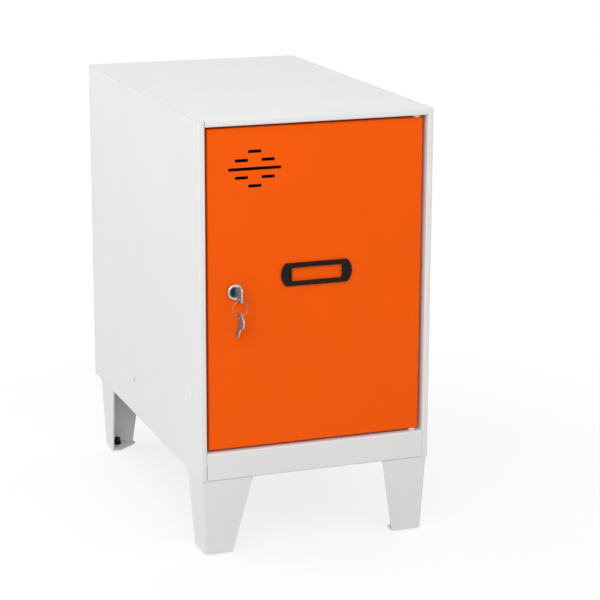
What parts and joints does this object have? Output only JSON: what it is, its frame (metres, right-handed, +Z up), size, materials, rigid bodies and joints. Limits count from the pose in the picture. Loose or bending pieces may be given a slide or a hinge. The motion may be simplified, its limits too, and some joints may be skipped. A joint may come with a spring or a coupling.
{
  "type": "locker",
  "caption": "Low steel locker on pressed corner legs, with one vented door on pin hinges, a label frame, and a cam lock whose key carries a spare on a ring.",
  "frame": {"origin": "centre of the bounding box at floor level, under the four glides", "axes": "+Z up, +X to the right seen from the front, -Y out of the door"},
  "size_m": [0.302, 0.5304, 0.543],
  "materials": {
    "body_paint": "smooth light grey-white powder coat",
    "door_paint": "smooth orange powder coat",
    "black_plastic": "black moulded plastic, slightly glossy",
    "white_nylon": "white moulded nylon",
    "black_rubber": "soft black rubber",
    "zinc_steel": "bright zinc or nickel plated steel",
    "chrome": "polished chrome plate"
  },
  "bodies": {
    "cabinet": {"side_panel_left": "body_paint", "side_panel_right": "body_paint", "top_panel": "body_paint", "floor_panel": "body_paint", "back_panel": "body_paint", "rear_cross_rail": "body_paint", "joining_plug_left_1": "white_nylon", "joining_plug_left_2": "white_nylon", "joining_plug_right_1": "white_nylon", "joining_plug_right_2": "white_nylon", "floor_rivet_left": "zinc_steel", "floor_rivet_right": "zinc_steel", "back_rivet_left_1": "zinc_steel", "back_rivet_left_2": "zinc_steel", "back_rivet_left_3": "zinc_steel", "back_rivet_right_1": "zinc_steel", "back_rivet_right_2": "zinc_steel", "back_rivet_right_3": "zinc_steel", "leg_front_left": "body_paint", "leg_front_right": "body_paint", "leg_rear_left": "body_paint", "leg_rear_right": "body_paint", "glide_front_left": "black_plastic", "glide_front_right": "black_plastic", "glide_rear_left": "black_plastic", "glide_rear_right": "black_plastic", "leg_screw_front_left_1": "zinc_steel", "leg_screw_front_left_2": "zinc_steel", "leg_screw_front_right_1": "zinc_steel", "leg_screw_front_right_2": "zinc_steel", "leg_screw_rear_left_1": "zinc_steel", "leg_screw_rear_left_2": "zinc_steel", "leg_screw_rear_right_1": "zinc_steel", "leg_screw_rear_right_2": "zinc_steel", "hinge_pin_lower": "zinc_steel", "hinge_pin_upper": "zinc_steel", "door_buffer_1": "black_rubber", "door_buffer_2": "black_rubber"},
    "door": {"door_panel": "door_paint", "door_stiffener": "door_paint", "label_frame": "black_plastic", "hinge_bush_lower": "white_nylon", "hinge_bush_upper": "white_nylon", "lock_housing": "chrome", "lock_nut": "zinc_steel"},
    "lock_cylinder": {"lock_plug": "chrome", "lock_cam": "zinc_steel", "cam_screw": "zinc_steel", "lock_key": "zinc_steel"},
    "ring": {"key_ring": "chrome"},
    "spare": {"spare_key": "zinc_steel"}
  },
  "joints": [
    {"name": "door_hinge", "type": "hinge", "parent": "cabinet", "child": "door", "pos_m": [0.1315, -0.22479, 0.333], "axis": [0, 0, 1], "range_deg": [0, 105]},
    {"name": "lock_turn", "type": "hinge", "parent": "door", "child": "lock_cylinder", "pos_m": [-0.1045, -0.23079, 0.333], "axis": [0, 1, 0], "range_deg": [0, 90]},
    {"name": "key_ring_swing", "type": "hinge", "parent": "lock_cylinder", "child": "ring", "pos_m": [-0.1045, -0.25109, 0.328], "axis": [-1, 0, 0], "range_deg": [0, 75]},
    {"name": "spare_key_swing", "type": "hinge", "parent": "ring", "child": "spare", "pos_m": [-0.1045, -0.25109, 0.3071], "axis": [-1, 0, 0], "range_deg": [0, 60]}
  ]
}
